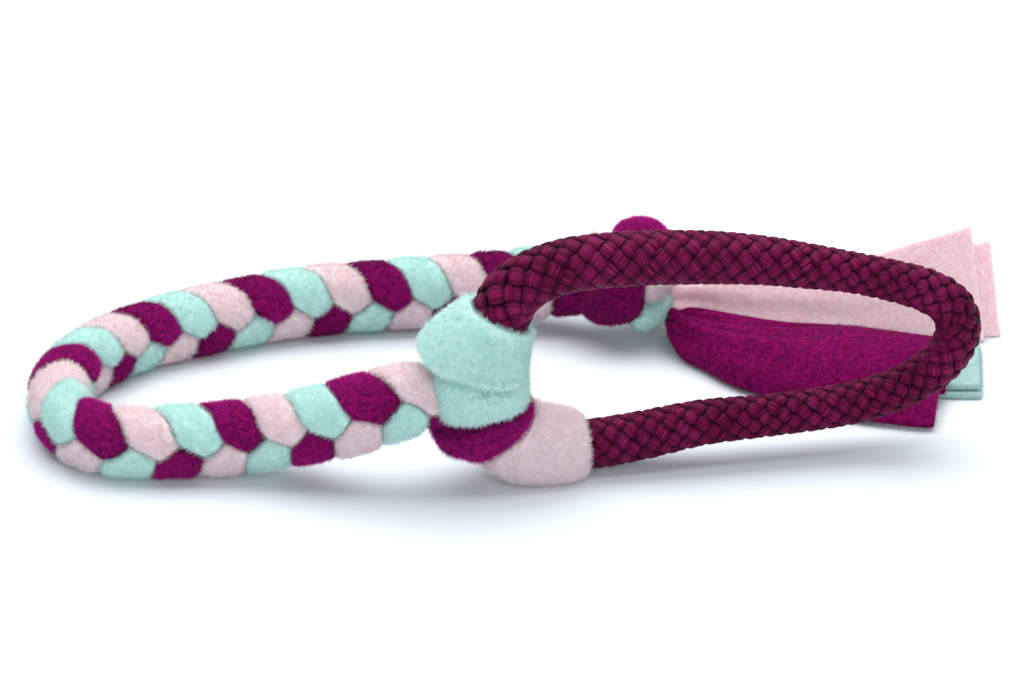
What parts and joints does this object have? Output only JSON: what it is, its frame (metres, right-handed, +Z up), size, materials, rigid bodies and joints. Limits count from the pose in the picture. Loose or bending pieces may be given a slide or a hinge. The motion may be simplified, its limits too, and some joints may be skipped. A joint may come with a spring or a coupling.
{
  "type": "braided fleece tug toy",
  "caption": "Dog tug toy: a rope loop handle with fleece strips folded over it, plaited together in a bend, tied in a knot and left with loose flat tails.",
  "frame": {"origin": "middle of the footprint on the floor that the toy lies on", "axes": "+Z up, +X from the bend of the plait towards the ends of the tails, +Y from the near run of the plait to the far run"},
  "size_m": [0.3318, 0.1336, 0.0843],
  "materials": {
    "fleece_mint": "matt brushed fleece",
    "fleece_magenta": "matt brushed fleece",
    "fleece_pink": "matt brushed fleece",
    "rope_burgundy": "braided filament with a slight sheen"
  },
  "bodies": {
    "braid": {"pink_strand": "fleece_pink", "magenta_strand": "fleece_magenta", "mint_strand": "fleece_mint"},
    "handle": {"rope_handle": "rope_burgundy", "mint_fold": "fleece_mint", "magenta_fold": "fleece_magenta", "pink_fold": "fleece_pink"},
    "magenta_tails": {"magenta_tail_upper": "fleece_magenta", "magenta_tail_lower": "fleece_magenta"},
    "mint_tails": {"mint_tail_lower": "fleece_mint", "mint_tail_upper": "fleece_mint"},
    "pink_tails": {"pink_tail_near": "fleece_pink", "pink_tail_far": "fleece_pink"}
  },
  "joints": [
    {"name": "handle_swing", "type": "hinge", "parent": "braid", "child": "handle", "pos_m": [-0.03457, -0.05693, 0.0345], "axis": [0, 0, 1], "range_deg": [-38, 4]},
    {"name": "magenta_tails_swing", "type": "hinge", "parent": "braid", "child": "magenta_tails", "pos_m": [0.04873, 0.06003, 0.01], "axis": [0, 0, 1], "range_deg": [0, 12]},
    {"name": "mint_tails_swing", "type": "hinge", "parent": "magenta_tails", "child": "mint_tails", "pos_m": [0.04873, 0.06003, 0.01], "axis": [0, 0, 1], "range_deg": [0, 8]},
    {"name": "pink_tails_swing", "type": "hinge", "parent": "mint_tails", "child": "pink_tails", "pos_m": [0.04873, 0.06003, 0.01], "axis": [0, 0, 1], "range_deg": [0, 12]}
  ]
}
